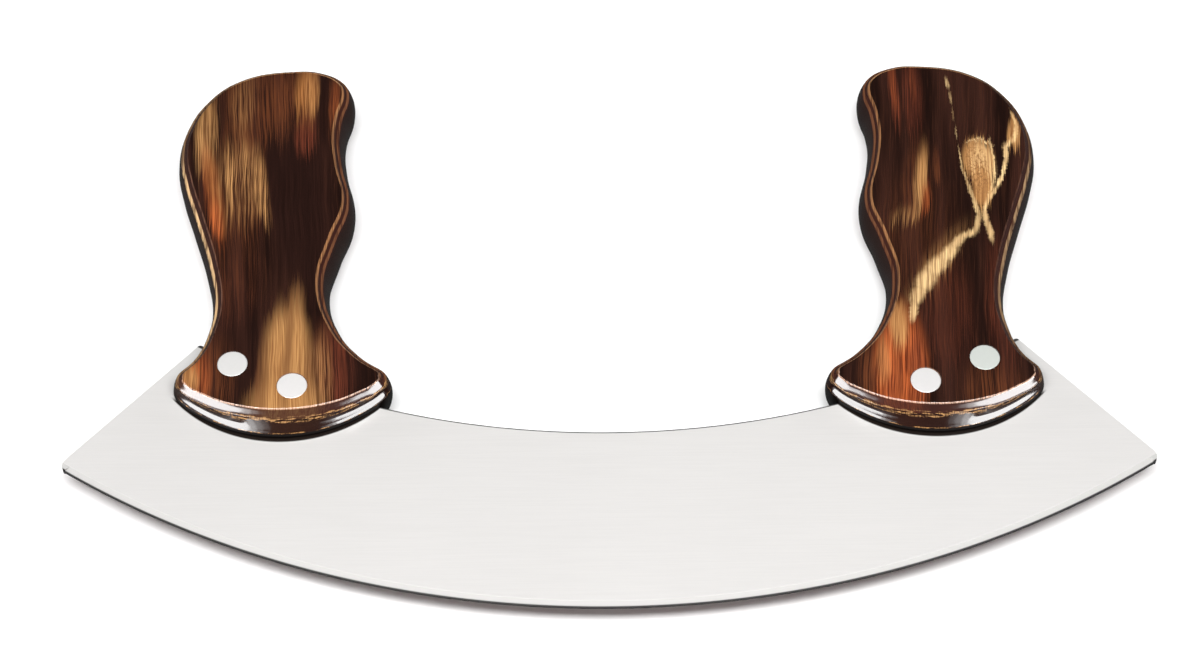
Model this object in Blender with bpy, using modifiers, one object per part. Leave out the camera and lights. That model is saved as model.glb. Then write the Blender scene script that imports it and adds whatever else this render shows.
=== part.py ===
"""Mezzaluna: a crescent chopping blade with two upright wooden handles.

The tool lies flat on the undersides of its handles. +X runs along the blade,
-Y is the cutting edge, +Y the handle tops and +Z the blade's upper face. The
origin is the middle of the bounding box, at the level of the lower faces.
"""
from math import acos, asin, atan2, cos, pi, radians, sin, sqrt, tan

import bmesh
import bpy
from mathutils import Vector

# Blade
BLADE_SPAN = 0.250          # over the two rounded tips
BLADE_DEPTH = 0.0463        # cutting edge to back, on the centre line
BLADE_THICKNESS = 0.0015
EDGE_RADIUS = 0.2274        # curve of the cutting edge
BACK_RADIUS = 0.1924        # curve of the back
BACK_OVERHANG = 0.0201      # back's corners outward of the middles of the feet
TIP_ROUND = 0.0022
BACK_CORNER_ROUND = 0.0008
GRIND_WIDTH = 0.0016        # each face of the double ground edge
EDGE_LAND = 0.0002          # thickness left at the very edge
BLADE_EASE = 0.0002         # broken corners of the back and the end cuts

# Handles, sizes over the widest level of the crowned walls
HANDLE_LENGTH = 0.1055
HANDLE_WIDTH = 0.0516       # over the two corners of the flared foot
HANDLE_THICKNESS = 0.015
HANDLE_SETBACK = 0.0496     # middle of each foot inside the blade's tip
SOCKET_DEPTH = 0.0164       # blade back above the lowest point of the foot
FOOT_BELLY = 0.0120         # middle of the foot's curve below its two corners
FOOT_CORNER = 0.0011        # how far each foot corner of the flat face is cut back
EDGE_ROUND = 0.0018         # rounding between flat face and wall
WALL_CROWN = 0.0012         # how far the wall swells at mid thickness
SEAT_GAP = 0.0003           # between blade and slot

# Two-part rivets
RIVET_HEAD_DIAMETER = 0.0070
RIVET_HEAD_HEIGHT = 0.0020
RIVET_SHANK_DIAMETER = 0.0050
RIVET_POST_DIAMETER = 0.0030
RIVET_END_ROOM = 0.0006     # free length of the bore past the post
RIVET_GAP = 0.0002
RIVET_INSET = 0.0047        # rivet centres inside the blade's back
RIVET_SPACING = 0.0153
RIVET_PAIR_SHIFT = 0.0044   # middle of a pair, outward of the foot's middle

CUT_OVERRUN = 0.005         # how far every cutter passes what it cuts

# Colours
STEEL_COLOUR = (0.80, 0.80, 0.79)
WOOD_COLOUR = (0.085, 0.030, 0.014)
RIVET_COLOUR = (0.86, 0.86, 0.84)

# Fineness
EDGE_STEPS = 72
BACK_STEPS = 48
TIP_STEPS = 6
CORNER_STEPS = 3
BLADE_STRIPS = 16           # across the blade's flat faces
SLOT_STEPS = 16
OUTLINE_STEPS = 4
ROUND_STEPS = 3
CROWN_STRIPS = 4
EASE_STEPS = 2
TURN_STEPS = 32
WELD_DISTANCE = 0.000001
SHARP_ANGLE = radians(30)
EASE_ANGLE = radians(75)

# Flat face of a handle, from its foot up the outer side, over the end and down
# the inner side: shares of the face's width from the middle of the foot,
# positive outward, and of the face's length above the corners of the foot.
FACE_OUTLINE_SHARES = (
    (0.409, 0.053), (0.337, 0.151), (0.318, 0.241), (0.361, 0.369),
    (0.449, 0.520), (0.520, 0.637), (0.552, 0.727), (0.530, 0.811),
    (0.443, 0.901), (0.294, 0.969), (0.020, 1.000), (-0.118, 0.993),
    (-0.217, 0.962), (-0.237, 0.934), (-0.207, 0.855), (-0.195, 0.777),
    (-0.215, 0.688), (-0.262, 0.559), (-0.200, 0.442), (-0.147, 0.302),
    (-0.221, 0.151), (-0.366, 0.050),
)
FOOT_KINK_SHARE = 0.55      # pull of a corner on the curve that rounds it

HANDLE_SPACING = BLADE_SPAN - 2 * HANDLE_SETBACK
BACK_SPAN = HANDLE_SPACING + 2 * BACK_OVERHANG
FOOT_RADIUS = ((HANDLE_WIDTH / 2) ** 2 + FOOT_BELLY ** 2) / (2 * FOOT_BELLY)
MID_LEVEL = HANDLE_THICKNESS / 2
WALL_REACH = EDGE_ROUND + WALL_CROWN
FACE_WIDTH = HANDLE_WIDTH - 2 * WALL_REACH
FACE_LENGTH = HANDLE_LENGTH - 2 * WALL_REACH
FACE_FOOT_RADIUS = FOOT_RADIUS - WALL_REACH
FACE_BELLY = FACE_FOOT_RADIUS - sqrt(FACE_FOOT_RADIUS ** 2 - (FACE_WIDTH / 2) ** 2)
EDGE_CENTRE = Vector((0, EDGE_RADIUS))
BACK_CENTRE = Vector((0, BLADE_DEPTH + BACK_RADIUS))


def back_height(across):
    """Height of the blade's back above the lowest point of the cutting edge."""
    return BACK_CENTRE.y - sqrt(BACK_RADIUS ** 2 - across ** 2)


FOOT_HEIGHT = back_height(HANDLE_SPACING / 2) - SOCKET_DEPTH
EDGE_Y = -(FOOT_HEIGHT + HANDLE_LENGTH) / 2


def polar(centre, radius, angle):
    return centre + radius * Vector((cos(angle), sin(angle)))


def arc(centre, radius, start, end, steps):
    """Points on a circle from one angle to another, both ends included."""
    return [polar(centre, radius, start + (end - start) * i / steps)
            for i in range(steps + 1)]


def angle_from(centre, point):
    return atan2(point.y - centre.y, point.x - centre.x)


def rounded_corner(before, corner, after, radius, steps):
    """Arc of the given radius that replaces a corner between two edges."""
    first = (before - corner).normalized()
    second = (after - corner).normalized()
    half = first.angle(second) / 2
    middle = corner + (first + second).normalized() * radius / sin(half)
    near = angle_from(middle, corner)
    turn = pi / 2 - half
    side = 1 if first.cross(second) < 0 else -1
    return arc(middle, radius, near - side * turn, near + side * turn, steps)


def clear_scene():
    for item in list(bpy.data.objects):
        bpy.data.objects.remove(item, do_unlink=True)


def new_collection(name):
    collection = bpy.data.collections.new(name)
    bpy.context.scene.collection.children.link(collection)
    return collection


def new_material(name, colour, metallic, roughness):
    material = bpy.data.materials.new(name)
    material.use_nodes = True
    shader = material.node_tree.nodes["Principled BSDF"]
    shader.inputs["Base Color"].default_value = (*colour, 1)
    shader.inputs["Metallic"].default_value = metallic
    shader.inputs["Roughness"].default_value = roughness
    material.diffuse_color = (*colour, 1)
    return material


def steel_material():
    return new_material("brushed_steel", STEEL_COLOUR, metallic=1, roughness=0.28)


def wood_material(name):
    return new_material(name, WOOD_COLOUR, metallic=0, roughness=0.22)


def rivet_material(name):
    return new_material(name, RIVET_COLOUR, metallic=1, roughness=0.25)


def add_object(name, mesh, collection, parent, location):
    item = bpy.data.objects.new(name, mesh)
    item.location = location
    item.parent = parent
    collection.objects.link(item)
    return item


def smooth(mesh):
    mesh.shade_smooth()
    mesh.set_sharp_from_angle(angle=SHARP_ANGLE)


def baked_mesh(source, name):
    """Welded mesh of an object as evaluated; the source object goes."""
    bpy.context.view_layer.update()
    evaluated = source.evaluated_get(bpy.context.evaluated_depsgraph_get())
    mesh = bpy.data.meshes.new_from_object(evaluated)
    mesh.name = name
    old = source.data
    bpy.data.objects.remove(source, do_unlink=True)
    if isinstance(old, bpy.types.Curve):
        bpy.data.curves.remove(old)
    else:
        bpy.data.meshes.remove(old)
    shape = bmesh.new()
    shape.from_mesh(mesh)
    bmesh.ops.remove_doubles(shape, verts=shape.verts, dist=WELD_DISTANCE)
    bmesh.ops.recalc_face_normals(shape, faces=shape.faces)
    shape.to_mesh(mesh)
    shape.free()
    return mesh


def flat_curve(name, half_thickness):
    curve = bpy.data.curves.new(name, "CURVE")
    curve.dimensions = "2D"
    curve.fill_mode = "BOTH"
    curve.extrude = half_thickness
    return curve


def plate_mesh(name, points, thickness):
    """Flat plate of the given outline, centred on its own mid plane."""
    curve = flat_curve(name, thickness / 2)
    spline = curve.splines.new("POLY")
    spline.points.add(len(points) - 1)
    for knot, point in zip(spline.points, points):
        knot.co = (point.x, point.y, 0, 1)
    spline.use_cyclic_u = True
    source = bpy.data.objects.new(name, curve)
    bpy.context.scene.collection.objects.link(source)
    return baked_mesh(source, name)


def turned_mesh(name, profile):
    """Solid of revolution about Z; the profile runs down its outer side."""
    mesh = bpy.data.meshes.new(name)
    edges = [(i, i + 1) for i in range(len(profile) - 1)]
    mesh.from_pydata([(radius, 0, height) for radius, height in profile], edges, [])
    source = bpy.data.objects.new(name, mesh)
    bpy.context.scene.collection.objects.link(source)
    screw = source.modifiers.new("turn", "SCREW")
    screw.axis = "Z"
    screw.steps = TURN_STEPS
    screw.render_steps = TURN_STEPS
    screw.use_merge_vertices = True
    screw.merge_threshold = WELD_DISTANCE
    result = baked_mesh(source, name)
    smooth(result)
    return result


def subtract(target, cutter):
    cut = target.modifiers.new(cutter.name, "BOOLEAN")
    cut.operation = "DIFFERENCE"
    cut.solver = "EXACT"
    cut.object = cutter


def add_cutter(name, mesh, collection, parent, location):
    cutter = add_object(name, mesh, collection, parent, location)
    cutter.hide_render = True
    cutter.display_type = "WIRE"
    return cutter


def half_blade_outline():
    """Right half of the blade, from the edge's lowest point round to the back."""
    reach = EDGE_RADIUS - TIP_ROUND
    tip_x = BLADE_SPAN / 2 - TIP_ROUND
    tip = Vector((tip_x, EDGE_RADIUS - sqrt(reach ** 2 - tip_x ** 2)))
    corner = Vector((BACK_SPAN / 2, back_height(BACK_SPAN / 2)))
    leave = angle_from(EDGE_CENTRE, tip)
    land = angle_from(tip, corner) - acos(TIP_ROUND / (corner - tip).length)
    edge = arc(EDGE_CENTRE, EDGE_RADIUS, -pi / 2, leave, EDGE_STEPS // 2)
    rounding = arc(tip, TIP_ROUND, leave, land, TIP_STEPS)[1:]
    start = angle_from(BACK_CENTRE, corner)
    back = arc(BACK_CENTRE, BACK_RADIUS, start, -pi / 2, BACK_STEPS // 2)
    turn = rounded_corner(rounding[-1], corner, back[1],
                          BACK_CORNER_ROUND, CORNER_STEPS)
    return edge, rounding + turn + back[1:]


def blade_outline():
    edge, rest = half_blade_outline()
    half = edge + rest
    mirrored = [Vector((-point.x, point.y)) for point in half[-2:0:-1]]
    return half + mirrored


def grind_edge(mesh):
    """Grind both faces down to the land along the edge, and split them into strips."""
    shape = bmesh.new()
    shape.from_mesh(mesh)
    for side in (-1, 1):
        flat = [face for face in shape.faces if round(face.normal.z) == side]
        bmesh.ops.dissolve_faces(shape, faces=flat)
    for level in (-EDGE_LAND / 2, EDGE_LAND / 2):
        bmesh.ops.bisect_plane(shape, geom=shape.verts[:] + shape.edges[:] + shape.faces[:],
                               plane_co=(0, 0, level), plane_no=(0, 0, 1))
    half_land = EDGE_LAND / 2 + WELD_DISTANCE
    for vert in shape.verts:
        spoke = Vector(vert.co.xy) - EDGE_CENTRE
        on_edge = abs(spoke.length - EDGE_RADIUS) < WELD_DISTANCE
        if on_edge and abs(vert.co.z) > half_land:
            ground = EDGE_CENTRE + spoke.normalized() * (EDGE_RADIUS - GRIND_WIDTH)
            vert.co.xy = ground
    for strip in range(1, BLADE_STRIPS):
        across = BLADE_SPAN * (strip / BLADE_STRIPS - 1 / 2)
        bmesh.ops.bisect_plane(shape, geom=shape.verts[:] + shape.edges[:] + shape.faces[:],
                               plane_co=(across, 0, 0), plane_no=(1, 0, 0))
    bmesh.ops.recalc_face_normals(shape, faces=shape.faces)
    shape.to_mesh(mesh)
    shape.free()


def make_blade(parts, parent):
    mesh = plate_mesh("blade", blade_outline(), BLADE_THICKNESS)
    grind_edge(mesh)
    smooth(mesh)
    blade = add_object("blade", mesh, parts, parent, (0, EDGE_Y, MID_LEVEL))
    ease = blade.modifiers.new("broken_corners", "BEVEL")
    ease.width = BLADE_EASE
    ease.segments = EASE_STEPS
    ease.limit_method = "ANGLE"
    ease.angle_limit = EASE_ANGLE
    blade.data.materials.append(steel_material())
    return blade


def foot_point(across):
    """Point of the flat face's foot curve, in the handle's own frame."""
    rise = FACE_FOOT_RADIUS - sqrt(FACE_FOOT_RADIUS ** 2 - across ** 2)
    return Vector((across, WALL_REACH + rise))


def face_point(shares):
    rise = FACE_BELLY + shares[1] * (FACE_LENGTH - FACE_BELLY)
    return Vector((shares[0] * FACE_WIDTH, WALL_REACH + rise))


def set_free(knot, position, before, after):
    knot.handle_left_type = "FREE"
    knot.handle_right_type = "FREE"
    knot.co = (*position, 0)
    knot.handle_left = (*before, 0)
    knot.handle_right = (*after, 0)


def face_spline(curve):
    """Closed curve round the flat face of an outward-facing right handle."""
    flank = [face_point(shares) for shares in FACE_OUTLINE_SHARES]
    outer_corner = foot_point(FACE_WIDTH / 2)
    inner_corner = foot_point(-FACE_WIDTH / 2)
    spline = curve.splines.new("BEZIER")
    spline.bezier_points.add(len(flank) + 4)
    spline.use_cyclic_u = True
    spline.resolution_u = OUTLINE_STEPS
    knots = spline.bezier_points
    for knot, point in zip(knots[2:], flank):
        knot.co = (*point, 0)
        knot.handle_left_type = "AUTO"
        knot.handle_right_type = "AUTO"
    place_corner(knots[0], knots[1], outer_corner, flank[0], 1)
    place_corner(knots[-2], knots[-3], inner_corner, flank[-1], -1)
    bottom = foot_point(0)
    pull = Vector((arc_pull(foot_angle(1)), 0))
    set_free(knots[-1], bottom, bottom - pull, bottom + pull)


def foot_angle(side):
    """Angle from the foot's lowest point to where a corner starts to round."""
    return side * (asin(FACE_WIDTH / 2 / FACE_FOOT_RADIUS)
                   - FOOT_CORNER / FACE_FOOT_RADIUS)


def arc_pull(angle):
    """Handle length that makes a cubic follow the foot's circle."""
    return FACE_FOOT_RADIUS * 4 / 3 * tan(angle / 4)


def place_corner(foot_knot, flank_knot, corner, flank, side):
    """Two knots that round one corner between the foot and a flank."""
    angle = foot_angle(side)
    centre = Vector((0, WALL_REACH + FACE_FOOT_RADIUS))
    start = polar(centre, FACE_FOOT_RADIUS, angle - pi / 2)
    along_foot = -side * Vector((cos(angle), sin(angle)))
    rise = (flank - corner).normalized()
    end = corner + rise * FOOT_CORNER
    foot_pull = start + along_foot * arc_pull(abs(angle))
    start_pull = start.lerp(corner, FOOT_KINK_SHARE)
    end_pull = end.lerp(corner, FOOT_KINK_SHARE)
    flank_pull = end + (flank - end) / 3
    if side > 0:
        set_free(foot_knot, start, foot_pull, start_pull)
        set_free(flank_knot, end, end_pull, flank_pull)
    else:
        set_free(foot_knot, start, start_pull, foot_pull)
        set_free(flank_knot, end, flank_pull, end_pull)


def crown_walls(mesh):
    """Swell the wall between the two roundings, most at mid thickness."""
    half_wall = HANDLE_THICKNESS / 2 - EDGE_ROUND
    shape = bmesh.new()
    shape.from_mesh(mesh)
    for strip in range(1, CROWN_STRIPS):
        level = half_wall * (2 * strip / CROWN_STRIPS - 1)
        bmesh.ops.bisect_plane(shape, geom=shape.verts[:] + shape.edges[:] + shape.faces[:],
                               plane_co=(0, 0, level), plane_no=(0, 0, 1))
    shape.normal_update()
    moves = []
    for vert in shape.verts:
        depth = abs(vert.co.z) / half_wall
        if depth < 1:
            outward = Vector((vert.normal.x, vert.normal.y, 0)).normalized()
            moves.append((vert, outward * WALL_CROWN * (1 - depth ** 2)))
    for vert, move in moves:
        vert.co += move
    shape.to_mesh(mesh)
    shape.free()


def mirror_mesh(mesh):
    """Turn a right-hand piece into its left-hand twin."""
    shape = bmesh.new()
    shape.from_mesh(mesh)
    for vert in shape.verts:
        vert.co.x = -vert.co.x
    bmesh.ops.reverse_faces(shape, faces=shape.faces)
    shape.to_mesh(mesh)
    shape.free()


def make_handle(name, side, parts, parent):
    curve = flat_curve(name, HANDLE_THICKNESS / 2 - EDGE_ROUND)
    curve.bevel_depth = EDGE_ROUND
    curve.bevel_resolution = ROUND_STEPS
    face_spline(curve)
    source = bpy.data.objects.new(name, curve)
    bpy.context.scene.collection.objects.link(source)
    mesh = baked_mesh(source, name)
    crown_walls(mesh)
    if side < 0:
        mirror_mesh(mesh)
    smooth(mesh)
    place = (side * HANDLE_SPACING / 2, EDGE_Y + FOOT_HEIGHT, MID_LEVEL)
    handle = add_object(name, mesh, parts, parent, place)
    handle.data.materials.append(wood_material(name + "_wood"))
    return handle


def slot_points(side):
    """Outline of the space that one handle leaves for the blade."""
    inner = BACK_RADIUS - SEAT_GAP
    outer = BACK_RADIUS + SOCKET_DEPTH + CUT_OVERRUN
    middle = HANDLE_SPACING / 2
    half = HANDLE_WIDTH / 2 + CUT_OVERRUN
    start = side * asin((middle - half) / inner) - pi / 2
    end = side * asin((middle + half) / inner) - pi / 2
    return (arc(BACK_CENTRE, inner, start, end, SLOT_STEPS)
            + arc(BACK_CENTRE, outer, end, start, SLOT_STEPS))


def add_slot_cutter(name, side, cutters, parent):
    thickness = BLADE_THICKNESS + 2 * SEAT_GAP
    mesh = plate_mesh(name, slot_points(side), thickness)
    return add_cutter(name, mesh, cutters, parent, (0, EDGE_Y, MID_LEVEL))


def rivet_places(side):
    """Inner and outer rivet of one handle, on a curve that follows the back."""
    radius = BACK_RADIUS + RIVET_INSET
    middle = asin((HANDLE_SPACING / 2 + RIVET_PAIR_SHIFT) / radius)
    half = asin(RIVET_SPACING / 2 / radius)
    for label, angle in (("inner", middle - half), ("outer", middle + half)):
        point = polar(BACK_CENTRE, radius, side * angle - pi / 2)
        yield label, (point.x, EDGE_Y + point.y, 0)


def rivet_hole_profile():
    head = RIVET_HEAD_DIAMETER / 2 + RIVET_GAP
    shank = RIVET_SHANK_DIAMETER / 2 + RIVET_GAP
    floor = RIVET_HEAD_HEIGHT + RIVET_GAP
    above = HANDLE_THICKNESS + CUT_OVERRUN
    return ((0, above), (head, above), (head, HANDLE_THICKNESS - floor),
            (shank, HANDLE_THICKNESS - floor), (shank, floor),
            (head, floor), (head, -CUT_OVERRUN), (0, -CUT_OVERRUN))


def female_profile():
    """Upper half: head and hollow shank, open at its lower end."""
    head = RIVET_HEAD_DIAMETER / 2
    shank = RIVET_SHANK_DIAMETER / 2
    bore = RIVET_POST_DIAMETER / 2 + RIVET_GAP
    neck = HANDLE_THICKNESS - RIVET_HEAD_HEIGHT
    mouth = RIVET_HEAD_HEIGHT + RIVET_GAP
    return ((0, HANDLE_THICKNESS), (head, HANDLE_THICKNESS), (head, neck),
            (shank, neck), (shank, mouth), (bore, mouth), (bore, neck), (0, neck))


def male_profile():
    """Lower half: head and the post that is driven into the hollow shank."""
    head = RIVET_HEAD_DIAMETER / 2
    post = RIVET_POST_DIAMETER / 2
    top = HANDLE_THICKNESS - RIVET_HEAD_HEIGHT - RIVET_END_ROOM
    return ((0, top), (post, top), (post, RIVET_HEAD_HEIGHT),
            (head, RIVET_HEAD_HEIGHT), (head, 0), (0, 0))


def make_rivet(prefix, place, meshes, parts, parent):
    for half in ("female", "male"):
        name = prefix + "_rivet_" + half
        item = add_object(name, meshes[half].copy(), parts, parent, place)
        item.data.name = name
        item.data.materials.append(rivet_material(name + "_aluminium"))


def main():
    clear_scene()
    parts = new_collection("mezzaluna")
    cutters = new_collection("cutters")
    frame = add_object("frame", None, parts, None, (0, 0, 0))
    blade = make_blade(parts, frame)
    hole = turned_mesh("rivet_hole", rivet_hole_profile())
    halves = {"female": turned_mesh("rivet_female", female_profile()),
              "male": turned_mesh("rivet_male", male_profile())}
    for word, side in (("left", -1), ("right", 1)):
        handle = make_handle(word + "_handle", side, parts, frame)
        subtract(handle, add_slot_cutter(word + "_slot", side, cutters, frame))
        for label, place in rivet_places(side):
            prefix = word + "_" + label
            drill = add_cutter(prefix + "_hole", hole, cutters, frame, place)
            subtract(handle, drill)
            subtract(blade, drill)
            make_rivet(prefix, place, halves, parts, frame)


main()
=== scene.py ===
"""Mezzaluna lying on a white table under soft studio light.

+X runs along the blade, -Y is the cutting edge, +Y the handle tops and +Z the
blade's upper face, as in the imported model. Sizes named _MM are millimetres.
"""
from math import asin, atan2, cos, degrees, pi, radians, sin

import bmesh
import bpy
import numpy as np
from mathutils import Matrix, Vector


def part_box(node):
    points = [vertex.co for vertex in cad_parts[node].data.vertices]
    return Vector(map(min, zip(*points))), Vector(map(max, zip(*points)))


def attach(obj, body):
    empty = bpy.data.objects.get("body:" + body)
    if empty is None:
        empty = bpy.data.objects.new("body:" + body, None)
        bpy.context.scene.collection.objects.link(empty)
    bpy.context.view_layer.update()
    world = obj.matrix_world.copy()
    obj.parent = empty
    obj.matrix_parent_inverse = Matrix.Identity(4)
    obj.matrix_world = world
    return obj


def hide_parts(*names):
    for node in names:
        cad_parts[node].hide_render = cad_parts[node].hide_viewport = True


MM = 0.001
SIDES = (("left", -1), ("right", 1))

# Sizes shared with the solids
BLADE_DEPTH = 0.0463
BLADE_THICKNESS = 0.0015
EDGE_RADIUS = 0.2274
BACK_RADIUS = 0.1924
GRIND_WIDTH = 0.0016
SOCKET_DEPTH = 0.0164
SEAT_GAP = 0.0003
HANDLE_THICKNESS = 0.015
FOOT_MIDDLE = 0.0754        # middle of each foot from the blade's middle
FOOT_LEVEL = -0.0301        # lowest point of each foot
FOOT_RADIUS = 0.033735      # the foot's arc at mid thickness
FOOT_CORNER_LEVEL = -0.0181
HEAD_RADIUS = 0.0035
HEAD_HEIGHT = 0.0020
SHANK_RADIUS = 0.0025
POST_RADIUS = 0.0015
FLAT_TOLERANCE = 0.00001

# Section of a handle's rim: reach outward from the flat face's outline, depth
# below the face. The second half mirrors the first. Along the foot the wall
# stands straighter and flares out at its lower end.
FLANK_SECTION_MM = (
    (-0.35, 0.00), (-0.05, 0.00), (0.10, 0.02), (0.22, 0.09), (0.30, 0.18),
    (0.62, 0.62), (0.94, 1.06), (1.24, 1.44), (1.36, 1.52), (1.60, 1.58),
    (1.78, 1.66), (1.90, 1.82), (2.10, 2.40), (2.35, 3.15), (2.58, 4.00),
    (2.75, 4.90), (2.84, 5.45), (2.90, 5.90), (2.95, 6.35), (2.98, 6.80), (3.00, 7.50),
)
FOOT_SECTION_MM = (
    (-0.35, 0.00), (-0.05, 0.00), (0.10, 0.02), (0.22, 0.09), (0.30, 0.18),
    (0.68, 0.68), (1.06, 1.19), (1.40, 1.64), (1.46, 1.71), (1.56, 1.79),
    (1.64, 1.88), (1.70, 2.05), (1.76, 2.50), (1.84, 3.10), (1.90, 3.55),
    (1.96, 3.68), (2.08, 3.85), (2.50, 4.42), (2.90, 4.92), (2.98, 5.10), (3.00, 7.50),
)
FOOT_TOP_MM = 16.0          # the foot's section is used below this height,
FOOT_FACING = (0.45, 0.65)  # and sets in as the outline turns towards the cutting edge
# Along the foot the bevel draws back in the middle and forward towards the
# corners: by how much, how fast, and the depths over which this fades
FACE_DRAW_MM = (-1.0, 0.6)
FACE_DRAW_FACING = 0.62
FACE_DRAW_FADE_MM = (2.0, 3.6)
OUTLINE_POINTS = 420
TURN_WEIGHT_MM = 6.0        # extra points where the outline turns
FINE_STEPS = 24             # samples of the curve between two outline points
SLOT_STEPS = 48
SLOT_REACH = HEAD_RADIUS * 9    # half length of the plate that cuts the slot
CUT_OVERRUN = 0.004
SMOOTH_ANGLE = radians(32)

# Rivets
TURN_STEPS = 96
HEAD_GAP = 0.00006          # fine ring of shadow round each head
HEAD_SINK = 0.00010         # heads lie a little under the varnish
HEAD_EASE = 0.00018
HEAD_EASE_TURNS = (0, 22.5, 45, 67.5, 90)
HEAD_CROWN = 0.00006
HEAD_CROWN_SHARES = (0.02, 0.35, 0.7, 0.9)
RIVET_LABELS = ("inner", "outer")
POST_DEPTH = HEAD_HEIGHT * 1.3      # the post's end below the upper face

# Camera
CAMERA_PLACE = (-0.00192, -0.45836, 0.66282)
CAMERA_PITCH = radians(35)
CAMERA_ROLL = radians(-0.5)
CAMERA_LENS_MM = 102.28
CAMERA_CLIP = 0.01
SENSOR_MM = 36


def outline_loop(node):
    """Outline of a node's highest flat face, as an array of (x, y)."""
    mesh = node.data
    top = max(vertex.co.z for vertex in mesh.vertices)
    edges = set()
    for polygon in mesh.polygons:
        corners = [mesh.vertices[i].co for i in polygon.vertices]
        if all(abs(corner.z - top) < FLAT_TOLERANCE for corner in corners):
            keys = [(round(corner.x, 6), round(corner.y, 6)) for corner in corners]
            edges.update(zip(keys, keys[1:] + keys[:1]))
    follows = {start: end for start, end in edges if (end, start) not in edges}
    loops = []
    while follows:
        start, point = follows.popitem()
        loop = [start]
        while point != start:
            loop.append(point)
            point = follows.pop(point)
        loops.append(np.array(loop))
    return max(loops, key=len)


def curve_bends(points, steps):
    """Second derivatives of the closed cubic curve through the points."""
    count = len(points)
    matrix = np.zeros((count, count))
    slopes = (np.roll(points, -1, axis=0) - points) / steps[:, None]
    for i in range(count):
        before, after = steps[i - 1], steps[i]
        matrix[i, i - 1] = before
        matrix[i, i] = 2 * (before + after)
        matrix[i, (i + 1) % count] = after
    return np.linalg.solve(matrix, 6 * (slopes - np.roll(slopes, 1, axis=0)))


def fine_curve(points):
    """Points and tangents along the closed cubic curve through the points."""
    following = np.roll(points, -1, axis=0)
    steps = np.linalg.norm(following - points, axis=1)
    bends = curve_bends(points, steps)
    share = np.arange(FINE_STEPS)[None, :, None] / FINE_STEPS
    rest = 1 - share
    start, end = points[:, None], following[:, None]
    bend, next_bend = bends[:, None], np.roll(bends, -1, axis=0)[:, None]
    width = steps[:, None, None]
    place = (rest * start + share * end
             + width ** 2 / 6 * ((rest ** 3 - rest) * bend + (share ** 3 - share) * next_bend))
    slope = ((end - start) / width
             + width / 6 * ((1 - 3 * rest ** 2) * bend + (3 * share ** 2 - 1) * next_bend))
    return place.reshape(-1, 2), slope.reshape(-1, 2)


def resampled(points, count):
    """Closed curve at the given number of points, closer where it turns, with normals."""
    place, slope = fine_curve(points)
    angle = np.unwrap(np.arctan2(slope[:, 1], slope[:, 0]))
    turn = np.abs(np.diff(angle, append=angle[0] + 2 * pi))
    length = np.linalg.norm(np.roll(place, -1, axis=0) - place, axis=1)
    measure = np.concatenate(([0], np.cumsum(length + TURN_WEIGHT_MM * MM * turn)))
    wanted = np.linspace(0, measure[-1], count, endpoint=False)
    closed = np.vstack((place, place[:1]))
    angles = np.append(angle, angle[0] + 2 * pi)
    x = np.interp(wanted, measure, closed[:, 0])
    y = np.interp(wanted, measure, closed[:, 1])
    heading = np.interp(wanted, measure, angles)
    normals = np.stack((np.sin(heading), -np.cos(heading)), axis=1)
    return np.stack((x, y), axis=1), normals


def rim_rings(section):
    """Reach and level of each ring of a handle, top to bottom, in metres."""
    upper = [(reach * MM, HANDLE_THICKNESS - depth * MM) for reach, depth in section]
    lower = [(reach, HANDLE_THICKNESS - level) for reach, level in upper[-2::-1]]
    return np.array(upper + lower)


def foot_shares(outline, normals):
    """How far each point of the outline belongs to the foot, from 0 to 1."""
    low, high = FOOT_FACING
    share = np.clip((-normals[:, 1] - low) / (high - low), 0, 1)
    share = share ** 2 * (3 - 2 * share)
    return np.where(outline[:, 1] < FOOT_LEVEL + FOOT_TOP_MM * MM, share, 0)


def face_draw(normals, share):
    """How far the foot's bevel is drawn back or forward at each outline point."""
    back, forward = FACE_DRAW_MM
    turned = np.clip(np.abs(normals[:, 0]) / FACE_DRAW_FACING, 0, 1) ** 2
    return (back + (forward - back) * turned) * MM * share


def new_object(name, data):
    item = bpy.data.objects.new(name, data)
    bpy.context.scene.collection.objects.link(item)
    return item


def mesh_from(shape, name):
    bmesh.ops.recalc_face_normals(shape, faces=shape.faces)
    mesh = bpy.data.meshes.new(name)
    shape.to_mesh(mesh)
    shape.free()
    return mesh


def lofted_mesh(name, rings):
    """Closed mesh through rings of points, with a flat cap at each end."""
    shape = bmesh.new()
    rows = [[shape.verts.new(point) for point in ring] for ring in rings]
    for row, following in zip(rows, rows[1:]):
        for i in range(len(row)):
            shape.faces.new((row[i - 1], row[i], following[i], following[i - 1]))
    shape.faces.new(rows[0])
    shape.faces.new(rows[-1])
    return mesh_from(shape, name)


def turned_mesh(name, profile):
    """Solid of revolution about Z through (radius, level) points; ends lie on the axis."""
    rings = []
    for radius, level in profile[1:-1]:
        rings.append([(radius * cos(2 * pi * i / TURN_STEPS),
                       radius * sin(2 * pi * i / TURN_STEPS), level)
                      for i in range(TURN_STEPS)])
    return lofted_mesh(name, rings)


def handle_mesh(name, node):
    outline, normals = resampled(outline_loop(node), OUTLINE_POINTS)
    share = foot_shares(outline, normals)
    draw = face_draw(normals, share)
    start, end = FACE_DRAW_FADE_MM
    rings = []
    for flank, foot in zip(rim_rings(FLANK_SECTION_MM), rim_rings(FOOT_SECTION_MM)):
        reach = flank[0] + share * (foot[0] - flank[0])
        level = flank[1] + share * (foot[1] - flank[1])
        below = min(HANDLE_THICKNESS - foot[1], foot[1]) / MM
        reach = reach + draw * min(1, max(0, (end - below) / (end - start)))
        ring = outline + reach[:, None] * normals
        rings.append(list(zip(ring[:, 0], ring[:, 1], level)))
    return lofted_mesh(name, rings)


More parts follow.
